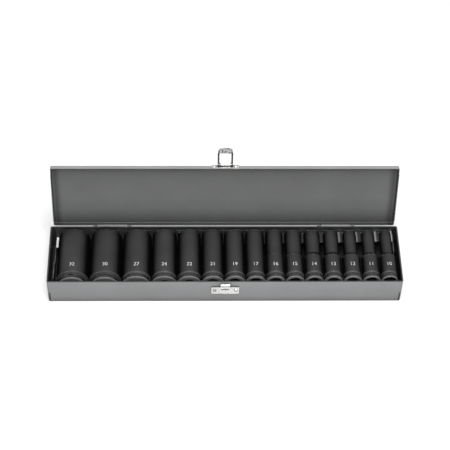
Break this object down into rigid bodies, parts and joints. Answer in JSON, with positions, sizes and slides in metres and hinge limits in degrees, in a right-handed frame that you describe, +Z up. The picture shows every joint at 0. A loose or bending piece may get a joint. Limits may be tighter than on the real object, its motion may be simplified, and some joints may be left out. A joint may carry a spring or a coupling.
{
  "type": "hinged socket tray case",
  "caption": "Shallow hinged sheet-steel tray case with its lid open, holding a row of deep black sockets side by side in a folded rack, with a hook and hasp latch at the front.",
  "frame": {"origin": "centre of the case underside", "axes": "+X to the right along the row towards the smallest socket, -Y to the front where the latch is, +Z up; the lid stands open at the back"},
  "size_m": [0.465, 0.1314, 0.1613],
  "materials": {
    "case_paint": "semi-gloss grey powder coat",
    "socket_black": "black phosphate and oil on alloy steel",
    "latch_plating": "bright zinc plate",
    "finger_steel": "bright bare steel",
    "rack_steel": "grey powder coat, worn bright at the edges"
  },
  "bodies": {
    "case": {"case_pan": "case_paint", "case_end_left": "case_paint", "case_end_right": "case_paint", "strike_plate": "latch_plating", "strike_rivets": "latch_plating", "comb_rail": "rack_steel", "comb_fingers": "finger_steel", "front_saddle": "rack_steel", "rack_end_left": "rack_steel", "rack_end_right": "rack_steel", "rack_rivets": "rack_steel", "hinge_case_leaf_left": "case_paint", "hinge_case_leaf_right": "case_paint", "hinge_pin_left": "latch_plating", "hinge_pin_right": "latch_plating"},
    "lid": {"lid_panel": "case_paint", "lid_rim": "case_paint", "hinge_lid_leaf_left": "case_paint", "hinge_lid_leaf_right": "case_paint", "hasp_hinge_plate": "latch_plating", "hasp_plate_rivets": "latch_plating", "hasp_pin": "latch_plating"},
    "hasp": {"hasp_frame": "latch_plating"},
    "socket_32_body": {"socket_32": "socket_black"},
    "socket_30_body": {"socket_30": "socket_black"},
    "socket_27_body": {"socket_27": "socket_black"},
    "socket_24_body": {"socket_24": "socket_black"},
    "socket_22_body": {"socket_22": "socket_black"},
    "socket_21_body": {"socket_21": "socket_black"},
    "socket_19_body": {"socket_19": "socket_black"},
    "socket_17_body": {"socket_17": "socket_black"},
    "socket_16_body": {"socket_16": "socket_black"},
    "socket_15_body": {"socket_15": "socket_black"},
    "socket_14_body": {"socket_14": "socket_black"},
    "socket_13_body": {"socket_13": "socket_black"},
    "socket_12_body": {"socket_12": "socket_black"},
    "socket_11_body": {"socket_11": "socket_black"},
    "socket_10_body": {"socket_10": "socket_black"}
  },
  "joints": [
    {"name": "lid_hinge", "type": "hinge", "parent": "case", "child": "lid", "pos_m": [0, 0.0474, 0.04215], "axis": [-1, 0, 0], "range_deg": [-103, 0]},
    {"name": "hasp_hinge", "type": "hinge", "parent": "lid", "child": "hasp", "pos_m": [0, 0.07401, 0.13587], "axis": [-1, 0, 0], "range_deg": [-90, 0]},
    {"name": "lift_socket_32", "type": "slide", "parent": "case", "child": "socket_32_body", "axis": [0, 0, 1], "range_m": [0, 0.06]},
    {"name": "lift_socket_30", "type": "slide", "parent": "case", "child": "socket_30_body", "axis": [0, 0, 1], "range_m": [0, 0.06]},
    {"name": "lift_socket_27", "type": "slide", "parent": "case", "child": "socket_27_body", "axis": [0, 0, 1], "range_m": [0, 0.06]},
    {"name": "lift_socket_24", "type": "slide", "parent": "case", "child": "socket_24_body", "axis": [0, 0, 1], "range_m": [0, 0.06]},
    {"name": "lift_socket_22", "type": "slide", "parent": "case", "child": "socket_22_body", "axis": [0, 0, 1], "range_m": [0, 0.06]},
    {"name": "lift_socket_21", "type": "slide", "parent": "case", "child": "socket_21_body", "axis": [0, 0, 1], "range_m": [0, 0.06]},
    {"name": "lift_socket_19", "type": "slide", "parent": "case", "child": "socket_19_body", "axis": [0, 0, 1], "range_m": [0, 0.06]},
    {"name": "lift_socket_17", "type": "slide", "parent": "case", "child": "socket_17_body", "axis": [0, 0, 1], "range_m": [0, 0.06]},
    {"name": "lift_socket_16", "type": "slide", "parent": "case", "child": "socket_16_body", "axis": [0, 0, 1], "range_m": [0, 0.06]},
    {"name": "lift_socket_15", "type": "slide", "parent": "case", "child": "socket_15_body", "axis": [0, 0, 1], "range_m": [0, 0.06]},
    {"name": "lift_socket_14", "type": "slide", "parent": "case", "child": "socket_14_body", "axis": [0, 0, 1], "range_m": [0, 0.06]},
    {"name": "lift_socket_13", "type": "slide", "parent": "case", "child": "socket_13_body", "axis": [0, 0, 1], "range_m": [0, 0.06]},
    {"name": "lift_socket_12", "type": "slide", "parent": "case", "child": "socket_12_body", "axis": [0, 0, 1], "range_m": [0, 0.06]},
    {"name": "lift_socket_11", "type": "slide", "parent": "case", "child": "socket_11_body", "axis": [0, 0, 1], "range_m": [0, 0.06]},
    {"name": "lift_socket_10", "type": "slide", "parent": "case", "child": "socket_10_body", "axis": [0, 0, 1], "range_m": [0, 0.06]}
  ]
}
